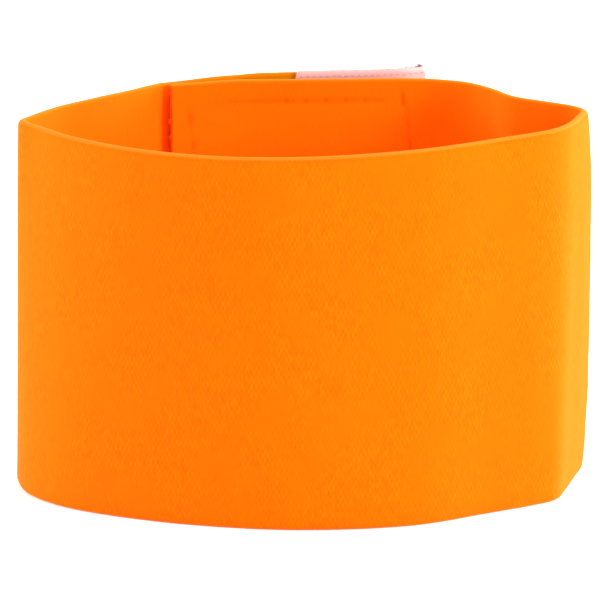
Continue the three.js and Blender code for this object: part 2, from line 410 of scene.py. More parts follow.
def strand_tree():
    """Sets a short bent strand, such as a stitch or a hook, on each point of a mesh."""
    tree = new_tree(
        "Short strands",
        [
            ("Start", "NodeSocketVector", (0, 0, 0)),
            ("Start Handle", "NodeSocketVector", (0, 0, 0.5 * MM)),
            ("End Handle", "NodeSocketVector", (0.5 * MM, 0, 0.5 * MM)),
            ("End", "NodeSocketVector", (0.5 * MM, 0, 0)),
            ("Radius", "NodeSocketFloat", 0.05 * MM),
            ("Steps", "NodeSocketInt", 6),
            ("Sides", "NodeSocketInt", 5),
            ("Turn", "NodeSocketFloat", 0.0),
            ("Lean", "NodeSocketFloat", 0.0),
            ("Smallest", "NodeSocketFloat", 1.0),
            ("Largest", "NodeSocketFloat", 1.0),
            ("Seed", "NodeSocketInt", 1),
            ("Material", "NodeSocketMaterial", None),
        ],
    )
    given = tree.nodes.new("NodeGroupInput").outputs
    bend = {key: given[key] for key in ("Start", "Start Handle", "End Handle", "End")}
    bend["Resolution"] = given["Steps"]
    line = add(tree, "GeometryNodeCurvePrimitiveBezierSegment", bend, mode="POSITION")
    spot = add(tree, "GeometryNodeSplineParameter")
    named = {"Geometry": line, "Name": "strand_run", "Value": spot.outputs["Length"]}
    run = add(tree, "GeometryNodeStoreNamedAttribute", named, data_type="FLOAT", domain="POINT")
    section = {"Resolution": given["Sides"], "Radius": given["Radius"]}
    circle = add(tree, "GeometryNodeCurvePrimitiveCircle", section, mode="RADIUS")
    named = {"Geometry": circle, "Name": "strand_round", "Value": spot.outputs["Factor"]}
    around = add(tree, "GeometryNodeStoreNamedAttribute", named, data_type="FLOAT", domain="POINT")
    tube = {"Curve": run, "Profile Curve": around, "Fill Caps": True}
    strand = add(tree, "GeometryNodeCurveToMesh", tube)

    turned = None
    for axis, pivot, name in (("Z", "AUTO", "out"), ("X", "Z", "run")):
        way = add(tree, "GeometryNodeInputNamedAttribute", {"Name": name}, data_type="FLOAT_VECTOR")
        links = {"Vector": way}
        if turned:
            links["Rotation"] = turned
        turned = add(tree, "FunctionNodeAlignRotationToVector", links, axis=axis, pivot_axis=pivot)
    limits = []
    for sign in (-1, 1):
        parts = [
            add(tree, "ShaderNodeMath", {0: given[key], 1: sign}, operation="MULTIPLY")
            for key in ("Lean", "Lean", "Turn")
        ]
        limits.append(add(tree, "ShaderNodeCombineXYZ", dict(enumerate(parts))))
    chance = {0: limits[0], 1: limits[1], "Seed": given["Seed"]}
    euler = add(tree, "FunctionNodeRandomValue", chance, data_type="FLOAT_VECTOR")
    sway = add(tree, "FunctionNodeEulerToRotation", {0: euler})
    links = {"Rotation": turned, "Rotate By": sway}
    turned = add(tree, "FunctionNodeRotateRotation", links, rotation_space="LOCAL")
    chance = {2: given["Smallest"], 3: given["Largest"], "Seed": given["Seed"]}
    size = add(tree, "FunctionNodeRandomValue", chance, data_type="FLOAT")

    each = {"Points": given["Geometry"], "Instance": strand, "Rotation": turned}
    each["Scale"] = size.outputs[1]
    strands = add(tree, "GeometryNodeInstanceOnPoints", each)
    finish_tree(tree, strands, given["Material"])
    return tree


def finish_tree(tree, geometry, material):
    """Ends a tree in plain, smooth geometry that wears the material."""
    real = add(tree, "GeometryNodeRealizeInstances", {0: geometry})
    smooth = add(tree, "GeometryNodeSetShadeSmooth", {"Geometry": real})
    worn = add(tree, "GeometryNodeSetMaterial", {"Geometry": smooth, "Material": material})
    add(tree, "NodeGroupOutput", {0: worn})


def placed_object(name, data):
    """An object in the scene, at the origin, that shows a mesh, a light or a camera."""
    placed = bpy.data.objects.new(name, data)
    bpy.context.scene.collection.objects.link(placed)
    return placed


def grown(name, mesh, tree, values):
    """A plain object of what a tree makes of a mesh with those inputs."""
    base = placed_object(name + "_base", mesh)
    modifier = base.modifiers.new("Shape", "NODES")
    modifier.node_group = tree
    for item in tree.interface.items_tree:
        if item.item_type == "SOCKET" and item.in_out == "INPUT" and item.name in values:
            modifier[item.identifier] = values[item.name]
    depsgraph = bpy.context.evaluated_depsgraph_get()
    made = bpy.data.meshes.new_from_object(base.evaluated_get(depsgraph), depsgraph=depsgraph)
    made.name = name
    bpy.data.objects.remove(base)
    return placed_object(name, made)


# Materials


def new_material(name, roughness, **principled):
    """A material with one Principled shader whose plain numbers are set on its own sockets."""
    material = bpy.data.materials.new(name)
    material.use_nodes = True
    tree = material.node_tree
    shader = tree.nodes["Principled BSDF"]
    shader.inputs["Roughness"].default_value = roughness
    for key, value in principled.items():
        shader.inputs[key.replace("_", " ")].default_value = value
    return material, tree, shader


def woven_elastic(sizes, colours, ribs):
    """Woven elastic of matt polyester yarn over covered rubber. The yarns float over each other in short
    upright dashes: each rib is a row of them, half a step off from the ribs beside it. To the eye it is a
    dull cloth with a fine staggered grain and a pale bloom of fuzz where it turns away."""
    material, tree, shader = new_material(
        "Woven polyester elastic",
        0.9,
        Specular_IOR_Level=0.015,
        Sheen_Weight=colours.fuzz,
        Sheen_Roughness=0.45,
        Sheen_Tint=(*colours.fuzz_tint, 1),
    )
    along = add(tree, "ShaderNodeAttribute", attribute_name="along").outputs["Fac"]
    across = add(tree, "ShaderNodeAttribute", attribute_name="across").outputs["Fac"]
    rib = add(tree, "ShaderNodeMath", {0: along, 1: float(ribs)}, operation="MULTIPLY")
    column = add(tree, "ShaderNodeMath", {0: rib}, operation="ROUND")
    step = add(tree, "ShaderNodeMath", {0: across, 1: sizes.dash_pitch}, operation="DIVIDE")
    step = add(tree, "ShaderNodeMath", {0: column, 1: 0.5, 2: step}, operation="MULTIPLY_ADD")
    row = add(tree, "ShaderNodeMath", {0: step}, operation="ROUND")
    waves = []
    for way in (rib, step):
        wave = add(tree, "ShaderNodeMath", {0: way, 1: math.tau}, operation="MULTIPLY")
        wave = add(tree, "ShaderNodeMath", {0: wave}, operation="COSINE")
        waves.append(add(tree, "ShaderNodeMath", {0: wave, 1: 0.5, 2: 0.5}, operation="MULTIPLY_ADD"))
    rib_gain, rib_floor = 0.35, 0.65
    shape = {0: waves[0], 1: rib_gain, 2: rib_floor}
    dash = add(tree, "ShaderNodeMath", shape, operation="MULTIPLY_ADD")
    dash = add(tree, "ShaderNodeMath", {0: dash, 1: waves[1]}, operation="MULTIPLY")

    # No two dashes are quite alike
    weakest_dash, dash_spread = 0.25, 1.5
    cell = add(tree, "ShaderNodeCombineXYZ", {0: column, 1: row})
    chance = add(tree, "ShaderNodeTexWhiteNoise", {"Vector": cell}, noise_dimensions="2D")
    chance = {0: chance.outputs["Value"], 1: dash_spread, 2: weakest_dash}
    chance = add(tree, "ShaderNodeMath", chance, operation="MULTIPLY_ADD")
    dash = add(tree, "ShaderNodeMath", {0: dash, 1: chance}, operation="MULTIPLY")

    # Single yarns run in strokes along the dashes
    strokes = add(tree, "ShaderNodeCombineXYZ", {0: rib, 1: step})
    yarn = {"Vector": strokes, "Scale": 1.3, "Detail": 1.5}
    yarn = add(tree, "ShaderNodeTexNoise", yarn, noise_dimensions="2D").outputs["Fac"]

    # The section is measured up its inner face first. On that face, inside the loop, the weave is painted
    # fainter and the tone lighter, as painted light for the soft light there. The weave shows in patches
    # of about 8 mm.
    inner_face = 70.7 * MM
    inner_soft_light_contrast = 0.35
    patch_gain, patch_shift = 2.8, -0.65
    place = add(tree, "ShaderNodeTexCoord").outputs["Object"]
    inside = add(tree, "ShaderNodeMath", {0: across, 1: inner_face}, operation="LESS_THAN")
    contrast = {0: inside, 1: inner_soft_light_contrast - 1, 2: 1.0}
    contrast = add(tree, "ShaderNodeMath", contrast, operation="MULTIPLY_ADD")
    patchy = {"Vector": place, "Scale": 120.0, "Detail": 1.0}
    patchy = add(tree, "ShaderNodeTexNoise", patchy).outputs["Fac"]
    patchy = {0: patchy, 1: patch_gain, 2: patch_shift}
    patchy = add(tree, "ShaderNodeMath", patchy, operation="MULTIPLY_ADD", use_clamp=True)
    contrast = add(tree, "ShaderNodeMath", {0: patchy, 1: contrast}, operation="MULTIPLY")

    # The tone goes from 0, the deep orange between the yarns, to 1, the raised yarns
    dash_gain, dash_shift = 0.45, -0.19
    yarn_gain, yarn_shift = 1.1, -0.55
    outer_tone, inner_painted_light = 0.375, 0.34
    tone = {0: dash, 1: dash_gain, 2: dash_shift}
    tone = add(tree, "ShaderNodeMath", tone, operation="MULTIPLY_ADD")
    fleck = {0: yarn, 1: yarn_gain, 2: yarn_shift}
    fleck = add(tree, "ShaderNodeMath", fleck, operation="MULTIPLY_ADD")
    tone = add(tree, "ShaderNodeMath", {0: tone, 1: fleck}, operation="ADD")
    # Painted light: the inner face's tone is raised
    base = {0: inside, 1: inner_painted_light, 2: outer_tone}
    base = add(tree, "ShaderNodeMath", base, operation="MULTIPLY_ADD")
    tone = add(tree, "ShaderNodeMath", {0: tone, 1: contrast, 2: base}, operation="MULTIPLY_ADD")

    # Clouds of about 5 mm, as of dye that took unevenly
    cloud_gain = 0.25
    cloud = {"Vector": place, "Scale": 200.0, "Detail": 3.0}
    cloud = add(tree, "ShaderNodeTexNoise", cloud).outputs["Fac"]
    tone = {0: cloud, 1: cloud_gain, 2: tone}
    tone = add(tree, "ShaderNodeMath", tone, operation="MULTIPLY_ADD")
    shade = {"Factor": tone, 6: (*colours.elastic_dark, 1), 7: (*colours.elastic, 1)}
    colour = add(tree, "ShaderNodeMix", shade, data_type="RGBA").outputs[2]

    # The painted shade in the seams' dents and in the groove beside the selvedge, the painted highlight
    # along the selvedge and the painted shade inside the outer end's upper edge each have a tint of their
    # own
    tints = {"pressed": colours.needle_hole_shade, "selvedge": colours.selvedge, "handled": colours.handled}
    for name, tint in tints.items():
        share = add(tree, "ShaderNodeAttribute", attribute_name=name).outputs["Fac"]
        shade = {"Factor": share, 6: colour, 7: (*tint, 1)}
        colour = add(tree, "ShaderNodeMix", shade, data_type="RGBA").outputs[2]
    tree.links.new(colour, shader.inputs["Base Color"])

    height = add(tree, "ShaderNodeMath", {0: yarn, 1: 0.5, 2: dash}, operation="MULTIPLY_ADD")
    height = add(tree, "ShaderNodeMath", {0: height, 1: contrast}, operation="MULTIPLY")
    bump = {"Height": height, "Distance": sizes.weave_depth, "Strength": 1.0}
    tree.links.new(add(tree, "ShaderNodeBump", bump).outputs[0], shader.inputs["Normal"])
    return material


def speckled_material(name, roughness, low, high, specks_a_metre, **principled):
    """A material whose colour goes between two in soft specks, and the specks, for its relief."""
    material, tree, shader = new_material(name, roughness, **principled)
    place = add(tree, "ShaderNodeTexCoord").outputs["Object"]
    speck = {"Vector": place, "Scale": specks_a_metre, "Detail": 2.0}
    speck = add(tree, "ShaderNodeTexNoise", speck).outputs["Fac"]
    shade = {"Factor": speck, 6: (*low, 1), 7: (*high, 1)}
    shade = add(tree, "ShaderNodeMix", shade, data_type="RGBA").outputs[2]
    tree.links.new(shade, shader.inputs["Base Color"])
    return material, tree, shader, speck


def strand_material(name, colour, roughness, ply=0.0, **principled):
    """Thread or yarn, a little darker in places about 1.1 mm long. ply is the length of one twist of its
    strands, and is 0 for a plain filament."""
    dark = [0.8 * c for c in colour]
    material, tree, shader, _ = speckled_material(name, roughness, dark, colour, 900.0, **principled)
    if ply:
        strands = 2.0
        run = add(tree, "ShaderNodeAttribute", attribute_name="strand_run").outputs["Fac"]
        around = add(tree, "ShaderNodeAttribute", attribute_name="strand_round").outputs["Fac"]
        run = add(tree, "ShaderNodeMath", {0: run, 1: ply}, operation="DIVIDE")
        twist = {0: around, 1: strands, 2: run}
        twist = add(tree, "ShaderNodeMath", twist, operation="MULTIPLY_ADD")
        twist = add(tree, "ShaderNodeMath", {0: twist, 1: math.tau}, operation="MULTIPLY")
        twist = add(tree, "ShaderNodeMath", {0: twist}, operation="SINE")
        bump = {"Height": twist, "Distance": 0.03 * MM, "Strength": 1.0}
        tree.links.new(add(tree, "ShaderNodeBump", bump).outputs[0], shader.inputs["Normal"])
    return material


def knitted_backing(colours):
    """Brushed nylon knit under the loop pile: dull, deep and slightly uneven, with stitches of 0.4 mm."""
    dark = [0.6 * c for c in colours.pile]
    material, tree, shader, speck = speckled_material(
        "Brushed nylon knit", 0.95, dark, colours.pile, specks_a_metre=2500.0, Sheen_Weight=0.3
    )
    bump = {"Height": speck, "Distance": 0.1 * MM, "Strength": 0.8}
    tree.links.new(add(tree, "ShaderNodeBump", bump).outputs[0], shader.inputs["Normal"])
    return material


def woven_tape(sizes, colours):
    """Plain-woven nylon tape with a light resin coat: pale pink and slightly glossy, with fine yarns over
    and under, and painted paler along the tab's upper edge, as painted light on the top of the tab."""
    material, tree, shader = new_material("Woven nylon tape", 0.55, Sheen_Weight=0.1)
    along = add(tree, "ShaderNodeAttribute", attribute_name="run_length").outputs["Fac"]
    across = add(tree, "ShaderNodeAttribute", attribute_name="across").outputs["Fac"]
    waves = []
    for way in (along, across):
        turn = {0: way, 1: math.tau / sizes.tape_yarn}
        turn = add(tree, "ShaderNodeMath", turn, operation="MULTIPLY")
        waves.append(add(tree, "ShaderNodeMath", {0: turn}, operation="COSINE"))
    weave = add(tree, "ShaderNodeMath", {0: waves[0], 1: waves[1]}, operation="MULTIPLY")
    weave_gain, weave_shift = 0.3, 0.6
    tone = {0: weave, 1: weave_gain, 2: weave_shift}
    tone = add(tree, "ShaderNodeMath", tone, operation="MULTIPLY_ADD")
    dark = [0.92 * c for c in colours.tape]
    shade = {"Factor": tone, 6: (*dark, 1), 7: (*colours.tape, 1)}
    colour = add(tree, "ShaderNodeMix", shade, data_type="RGBA").outputs[2]
    # Painted light: paler towards the tab's upper edge
    rubbed = add(tree, "ShaderNodeAttribute", attribute_name="rubbed").outputs["Fac"]
    shade = {"Factor": rubbed, 6: colour, 7: (*colours.tape_lit_edge, 1)}
    colour = add(tree, "ShaderNodeMix", shade, data_type="RGBA").outputs[2]
    tree.links.new(colour, shader.inputs["Base Color"])
    bump = {"Height": weave, "Distance": 0.012 * MM, "Strength": 1.0}
    tree.links.new(add(tree, "ShaderNodeBump", bump).outputs[0], shader.inputs["Normal"])
    return material


def paper_sweep(colours):
    """Matt white background paper: even, with the faintest tooth. The tooth is 1.4 mm, some ten times as
    coarse as on real paper, where it would be too fine to show."""
    white, tooth = colours.floor, [0.99 * c for c in colours.floor]
    return speckled_material(
        "Matt white paper", 1.0, white, tooth, specks_a_metre=700.0, Specular_IOR_Level=0.1
    )[0]


# The pieces


def strip_routes():
    """The courses of the strip and of the tape."""
    loop = make_route(SECTIONS)
    strip = make_route([*SECTIONS, *(row_behind(loop, row) for row in OVERLAP)])
    tape = make_route([*(row_behind(loop, row) for row in TAPE_SEWN), *TAPE_TAB])
    return strip, tape


def run_to(route, name):
    """How far along a route one of its rows is."""
    return wall_length(route, 0, route.names.index(name))


def patch_seam(strip, sizes):
    """The rectangle of stitches that holds the patch, on the inner face of the strip's inner end."""
    wander = 0.95 * MM
    from_patch_edge = 1.9 * MM
    return Seam(
        left=run_to(strip, "patch_left") + sizes.seam_inset,
        right=run_to(strip, "patch_right") - sizes.seam_inset - wander,
        low=PATCH_LOW + from_patch_edge,
        high=PATCH_HIGH - from_patch_edge,
        wander=wander,
        pulls=(EVEN_PULL, RIGHT_PULL, TOP_PULL, LEFT_PULL),
        tack=True,
    )


def tape_seam(strip):
    """The rectangle of stitches that holds the tape, on the outer face of the strip's outer end."""
    return Seam(
        left=run_to(strip, "over_tape_left") + 1.6 * MM,
        right=run_to(strip, "outer_cut") - 1.8 * MM,
        low=4.0 * MM,
        high=66.0 * MM,
        wander=0.3 * MM,
        pulls=(EVEN_PULL,) * 4,
        tack=False,
    )


def seam_sides(seam, stitch):
    """The four sides of a seam, each as start, end and the number of stitches on it."""
    left, right, low, high = seam[:4]
    corners = [(left, low), (right, low), (right, high), (left, high)]
    for start, end in zip(corners, corners[1:] + corners[:1]):
        start, end = np.array(start), np.array(end)
        yield start, end, max(round(np.linalg.norm(end - start) / stitch), 1)


def wandering(seam, height):
    """How far a seam's upright sides wander along the strip at a height: they bow near both corners."""
    turn = 3 * math.pi * (seam.high - height) / (seam.high - seam.low)
    return seam.wander * max(math.sin(turn), 0)


def from_line(start, end, run, height):
    """How far along a line each point is, as a share of its length, and how far it is from the line."""
    side = np.subtract(end, start)
    length = np.linalg.norm(side)
    way = side / length
    ahead = (run - start[0]) * way[0] + (height - start[1]) * way[1]
    aside = (run - start[0]) * way[1] - (height - start[1]) * way[0]
    beyond = np.maximum(np.maximum(-ahead, ahead - length), 0)
    return ahead / length, np.hypot(aside, beyond)


def seam_dent(seam, run, height, sizes):
    """How deep the stitches pull the cloth in, as a share of the full depth: a groove along each side
    with a dimple at each needle hole."""
    hole_sharpness = 8
    dent = np.zeros_like(run)
    run = run - wandering(seam, height)
    for pulls, (start, end, count) in zip(seam.pulls, seam_sides(seam, sizes.stitch_length)):
        share, away = from_line(start, end, run, height)
        shares, *columns = np.array(pulls).T
        groove, hole, width = (np.interp(share, shares, column) for column in columns)
        round_holes = (0.5 + 0.5 * np.cos(math.tau * share * count)) ** hole_sharpness
        near = np.exp(-((away / (width * MM)) ** 2))
        dent = np.maximum(dent, near * (groove + hole * round_holes))
    if seam.tack:
        depth, width = 0.7, 0.5 * MM
        at = seam.right - 0.4 * MM
        _, away = from_line((at, seam.high - 0.6 * MM), (at, seam.high + 0.9 * MM), run, height)
        dent = np.maximum(dent, depth * np.exp(-((away / width) ** 2)))
    return dent


def face_heights(seam):
    """Heights of the rows of points on a face: close together at the seam's two level lines, at the dents
    below its upper corners and at the selvedge along each edge."""
    edge = np.array([0.56, 0.7, 0.85, 1.15]) * MM
    close = np.array([-0.9, -0.38, 0, 0.38, 0.9]) * MM
    below_top = np.array([-9.5, -8.6, -7.5, -6.9, -4.3, -3.5, -2.2, -1.5]) * MM
    between = np.linspace(seam.low, seam.high, 6)[1:-1]
    near_top = seam.high + np.array([*below_top, *close, 1.5 * MM])
    return [*edge, *(seam.low + close), *between, *near_top, *(STRIP_WIDTH - edge[::-1])]


def from_edge(height):
    """How far a height is from the strip's nearer edge."""
    return min(height, STRIP_WIDTH - height)


def selvedge_groove(edge):
    """The depth of the fine groove beside the selvedge at a distance from the edge, as a share."""
    return float(np.interp(edge, np.array([0.7, 0.7001, 0.85, 1.15]) * MM, [0, 1, 1, 0]))


def selvedge_rise(offset, edge):
    """How far the outer face stands out at a distance from the edge: the selvedge is a round bead."""
    bead, groove = 0.7 * MM, 0.04 * MM
    if edge < bead:
        return math.sqrt(bead**2 - (bead - edge) ** 2) - offset
    return -groove * selvedge_groove(edge)


def rest_on_root(pieces):
    """Puts pieces on the part's one body."""
    for piece in pieces:
        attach(piece, "root")


def build_strip(sizes, colours):
    """The strip of elastic, with its ribs, its selvedges and the dents of both seams."""
    strip, _ = strip_routes()
    last = len(strip.names) - 1
    length = wall_length(strip, 0, last)
    samples_a_rib = 2
    ribs = round(length / sizes.rib_pitch)
    inside, outside = patch_seam(strip, sizes), tape_seam(strip)
    rounding = 0.5 * MM
    ring = slab_ring(STRIP_WIDTH, sizes.thickness, rounding, face_heights(inside), arc_steps=3)

    def relief(offset, height, along):
        """How far the stitches and the selvedges move the points of a line along the strip."""
        run = along * length
        if offset < 0:
            return seam_dent(inside, run, height, sizes) * sizes.stitch_depth
        dent = seam_dent(outside, run, height, sizes) * sizes.stitch_depth
        return selvedge_rise(offset, from_edge(height)) - dent

    count = ribs * samples_a_rib + 1
    mesh = slab_mesh("elastic_strip", strip, 0, last, ring, STRIP_WIDTH, count, relief=relief)

    # The tints put painted shade in the seams' dents and in the groove beside the selvedge, a painted
    # highlight on the selvedges, and painted shade inside the outer end's upper edge, which shows above
    # the inner layer, for the shade between the two layers there
    groove_shade_share = 0.15
    highlight_reach_outside, highlight_reach_inside = 0.45 * MM, 0.1 * MM
    layer_shade_run, layer_shade_height, layer_shade_offset = 12 * MM, 3 * MM, 0.4 * MM
    run = np.linspace(0, length, count)
    layer_shade_ramp = np.clip((run - run_to(strip, "over_inner_end")) / layer_shade_run, 0, 1)
    pressed, selvedge, handled = [], [], []
    for offset, height in ring:
        outer = offset > 0
        pressed.append(seam_dent(outside if outer else inside, run, height, sizes))
        if outer:
            pressed[-1] += groove_shade_share * selvedge_groove(from_edge(height))
        # Painted highlight along the selvedge, wider on the outer face
        selvedge.append(from_edge(height) < (highlight_reach_outside if outer else highlight_reach_inside))
        handled.append(layer_shade_ramp * (offset < layer_shade_offset and height > STRIP_WIDTH - layer_shade_height))
    store(mesh, "pressed", np.concatenate(pressed))
    store(mesh, "selvedge", np.repeat(np.array(selvedge, float), count))
    store(mesh, "handled", np.concatenate(handled))
    material = woven_elastic(sizes, colours, ribs)
    values = {"Ribs": ribs, "Rib Height": sizes.rib_height, "Material": material}
    piece = grown("elastic_strip", mesh, rib_tree(), values)
    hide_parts("elastic_band")
    rest_on_root([piece])
    return piece


def scattered(name, points, outs, runs, values):
    """Short strands on those points, growing along outs, with their bend towards runs. In values, the
    four points of the bend have x along the run and z out."""
    mesh = bpy.data.meshes.new(name + "_points")
    mesh.from_pydata([tuple(p) for p in points], [], [])
    store(mesh, "out", outs, "FLOAT_VECTOR")
    store(mesh, "run", runs, "FLOAT_VECTOR")
    return grown(name, mesh, strand_tree(), values)


def surface_spots(route, first, last, spots, lift, facing):
    """Points, facing directions and running directions at (share along, level) spots of a wall."""
    points, outs, runs = [], [], []
    lines = {}
    count = 1200
    for along, level in spots:
        key = round(level, 6)
        if key not in lines:
            lines[key] = wall_line(route, first, last, level, count)
        line, out = lines[key]
        at = along * (count - 1)
        low = min(int(at), count - 2)
        share = at - low
        normal = out[low] * (1 - share) + out[low + 1] * share
        points.append(line[low] * (1 - share) + line[low + 1] * share + normal * lift)
        outs.append(normal * facing)
        runs.append(line[low + 1] - line[low])
    return np.array(points), np.array(outs), np.array(runs)


def build_patch(sizes, colours):
    """The loop patch: a thin knitted backing and its pile, with fewer and thicker loops than real."""
    strip, _ = strip_routes()
    first, last = strip.names.index("patch_left"), strip.names.index("patch_right")
    width = PATCH_HIGH - PATCH_LOW
    backing, rounding, samples, row_step = 0.4 * MM, 0.12 * MM, 120, 4 * MM
    sunk, near_face = 0.1 * MM, 0.4
    even = np.ones_like(strip.low)
    patch = strip._replace(low=even * PATCH_LOW, top=even * PATCH_HIGH)
    heights = np.arange(2 * MM, width - 1 * MM, row_step)
    ring = slab_ring(width, backing, rounding, heights, arc_steps=2)
    lift = PATCH_LIFT - PATCH_THICKNESS / 2 + backing / 2 - sunk
    mesh = slab_mesh("loop_patch_backing", patch, first, last, ring, width, samples, lift=lift)
    mesh.materials.append(knitted_backing(colours))
    backing_piece = placed_object("loop_patch_backing", mesh)

    # The loops stand at uneven places, and closer together along the upper and the lower edge
    length = wall_length(strip, first, last)
    random = np.random.default_rng(7)
    columns, rows = int(length / sizes.pile_pitch), int(width / sizes.pile_pitch)
    jitter, levels, edge_columns, edge_level = 0.4, 200, columns * 3, 0.002
    spots = []
    for row in range(rows):
        for column in range(columns):
            along = (column + 0.5 + random.uniform(-jitter, jitter)) / columns
            level = (row + 0.5 + random.uniform(-jitter, jitter) * (0 < row < rows - 1)) / rows
            spots.append((along, round(level * levels) / levels))
    for column in range(edge_columns):
        along = (column + random.uniform(0, 1)) / edge_columns
        spots += [(along, edge_level), (along, 1 - edge_level)]
    points, outs, runs = surface_spots(patch, first, last, spots, lift + backing * near_face, 1)

    # Brushed nylon loops are fine and dull, and make the patch look soft and deep
    tall = sizes.pile_height
    values = {
        "Start": (-0.12 * MM, 0, -0.05 * MM),
        "Start Handle": (-0.5 * MM, 0, tall * 1.45),
        "End Handle": (0.5 * MM, 0, tall * 1.45),
        "End": (0.12 * MM, 0, -0.05 * MM),
        "Radius": 0.035 * MM,
        "Steps": 6,
        "Sides": 3,
        "Turn": math.pi,
        "Lean": 0.45,
        "Smallest": 0.65,
        "Largest": 1.0,
        "Seed": 3,
        "Material": strand_material("Brushed nylon loops", colours.pile, 0.8, Specular_IOR_Level=0.1),
    }
    pile = scattered("loop_patch_pile", points, outs, runs, values)
    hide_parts("loop_patch")
    rest_on_root((backing_piece, pile))
    return backing_piece, pile


def build_tape(sizes, colours):
    """The hook tape: its woven web, its rows of hooks, and the loose filaments on the tab."""
    _, tape = strip_routes()
    last = len(tape.names) - 1
    width = STRIP_WIDTH
    base, rounding, samples, row_step = 0.38 * MM, 0.12 * MM, 640, 4 * MM
    lit_edge_reach = 1.3 * MM
    heights = [*np.arange(2 * MM, width - 2 * lit_edge_reach, row_step), width - lit_edge_reach, width - lit_edge_reach / 2]
    ring = slab_ring(width, base, rounding, heights, arc_steps=2)
    lift = TAPE_THICKNESS / 2 - base / 2
    length = wall_length(tape, 0, last)
    mesh = slab_mesh("hook_tape_web", tape, 0, last, ring, width, samples, lift=lift)

    # Painted light along the upper edge, past the strip's end: the tab is painted paler at its top
    rubbed = np.clip(1 - (width - ring[:, 1]) / lit_edge_reach, 0, 1)
    lit_run = np.linspace(0, length, samples) - wall_length(tape, 0, tape.names.index("tab_start"))
    store(mesh, "rubbed", np.outer(rubbed, np.clip(lit_run / lit_edge_reach, 0, 1)))
    along = np.zeros(len(mesh.vertices), np.float32)
    mesh.attributes["along"].data.foreach_get("value", along)
    store(mesh, "run_length", along * length)
    mesh.materials.append(woven_tape(sizes, colours))
    web = placed_object("hook_tape_web", mesh)

    # Rows of hooks, each row half a pitch off from the next and facing the other way
    columns, rows = int(length / sizes.hook_pitch), int((width - 2 * MM) / sizes.hook_row)
    spots, facing = [], []
    edge_rows = 0.8
    for row in range(rows):
        shift, way = (0.25, 1) if row % 2 else (0.75, -1)
        for column in range(columns):
            level = (row + edge_rows) / (rows - 1 + 2 * edge_rows)
            spots.append(((column + shift) / columns, level))
            facing.append(way)
    points, outs, runs = surface_spots(tape, 0, last, spots, lift - base / 2, -1)
    runs = runs * np.array(facing)[:, None]

    # Nylon monofilament is stiff and smooth, with a soft highlight on each hook
    tall, reach = sizes.hook_height, 0.28 * MM
    values = {
        "Start": (0, 0, -0.04 * MM),
        "Start Handle": (0, 0, tall * 1.3),
        "End Handle": (reach, 0, tall * 1.3),
        "End": (reach, 0, tall * 0.45),
        "Radius": 0.05 * MM,
        "Steps": 6,
        "Sides": 5,
        "Turn": 0.3,
        "Lean": 0.08,
        "Smallest": 0.92,
        "Largest": 1.0,
        "Seed": 5,
        "Material": strand_material("Nylon monofilament", colours.hooks, 0.6, IOR=1.53),
    }
    hooks = scattered("hook_tape_hooks", points, outs, runs, values)

    # Loose nylon filaments stand up from the tab's upper edge, thickest at its corner. They are thin and
    # straight, and their grey shows against the white ground.
    random = np.random.default_rng(9)
    tab_half, tab_last, tab_tip, singles = 0.5, 0.75, 0.99, 60
    corner, corner_spread, tuft_size, furthest = 0.965, 0.008, 80, 0.995
    shares = [*random.uniform(tab_half, tab_tip, singles), *random.uniform(tab_last, tab_tip, singles)]
    shares += [*random.normal(corner, corner_spread, tuft_size)]
    top = 1 - 0.3 * MM / width
    spots = [(min(share, furthest), top) for share in shares]
    points, outs, runs = surface_spots(tape, 0, last, spots, lift, 1)
    upwards = np.tile([0.25, 0, 1], (len(points), 1))
    values = {
        "Start": (0, 0, 0),
        "Start Handle": (0.05 * MM, 0, 0.3 * MM),
        "End Handle": (0.2 * MM, 0, 0.5 * MM),
        "End": (0.4 * MM, 0, 0.6 * MM),
        "Radius": 0.03 * MM,
        "Steps": 5,
        "Sides": 4,
        "Turn": math.pi,
        "Lean": 0.5,
        "Smallest": 0.4,
        "Largest": 1.4,
        "Seed": 17,
        "Material": strand_material("Frayed nylon filament", colours.filament, 0.5, IOR=1.53),
    }
    fray = scattered("hook_tape_fray", points, upwards, runs, values)
    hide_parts("hook_tape")
    rest_on_root((web, hooks, fray))
    return web, hooks, fray


def build_stitching(sizes, colours):
    """Both seams, each a piece of its own."""
    strip, _ = strip_routes()
    last = len(strip.names) - 1
    length = wall_length(strip, 0, last)
    pieces = []
    # Polyester sewing thread is matt, with the twist of its two plies just showing
    matt = {"ply": 0.5 * MM, "Specular_IOR_Level": 0.05}
    thread = strand_material("Polyester sewing thread", colours.thread, 0.8, **matt)
    for name, seam, side in (
        ("patch_stitching", patch_seam(strip, sizes), -1),
        ("tape_stitching", tape_seam(strip), 1),
    ):
        spots = []
        for start, end, count in seam_sides(seam, sizes.stitch_length):
            for stitch in range(count):
                for share in (0.0, 0.5, 1.0):
                    run, height = start + (end - start) * (stitch + share) / count
                    spots.append(((run + wandering(seam, height)) / length, height / STRIP_WIDTH))
        sunk = 0.85
        lift = side * (sizes.thickness / 2 - sizes.thread_width * sunk)
        points, outs, _ = surface_spots(strip, 0, last, spots, lift, side)
        runs = points[2::3] - points[0::3]
        half, crown, pierced = sizes.stitch_length / 2, sizes.thread_width / 2, 0.18 * MM
        hole, bend = half * 0.94, half * 0.8
        values = {
            "Start": (-hole, 0, -pierced),
            "Start Handle": (-bend, 0, crown),
            "End Handle": (bend, 0, crown),
            "End": (hole, 0, -pierced),
            "Radius": sizes.thread_width / 2,
            "Steps": 10,
            "Sides": 8,
            "Turn": 0.04,
            "Lean": 0.02,
            "Smallest": 0.98,
            "Largest": 1.0,
            "Seed": 11,
            "Material": thread,
        }
        pieces.append(scattered(name, points[1::3], outs[1::3], runs, values))
    rest_on_root(pieces)
    return pieces


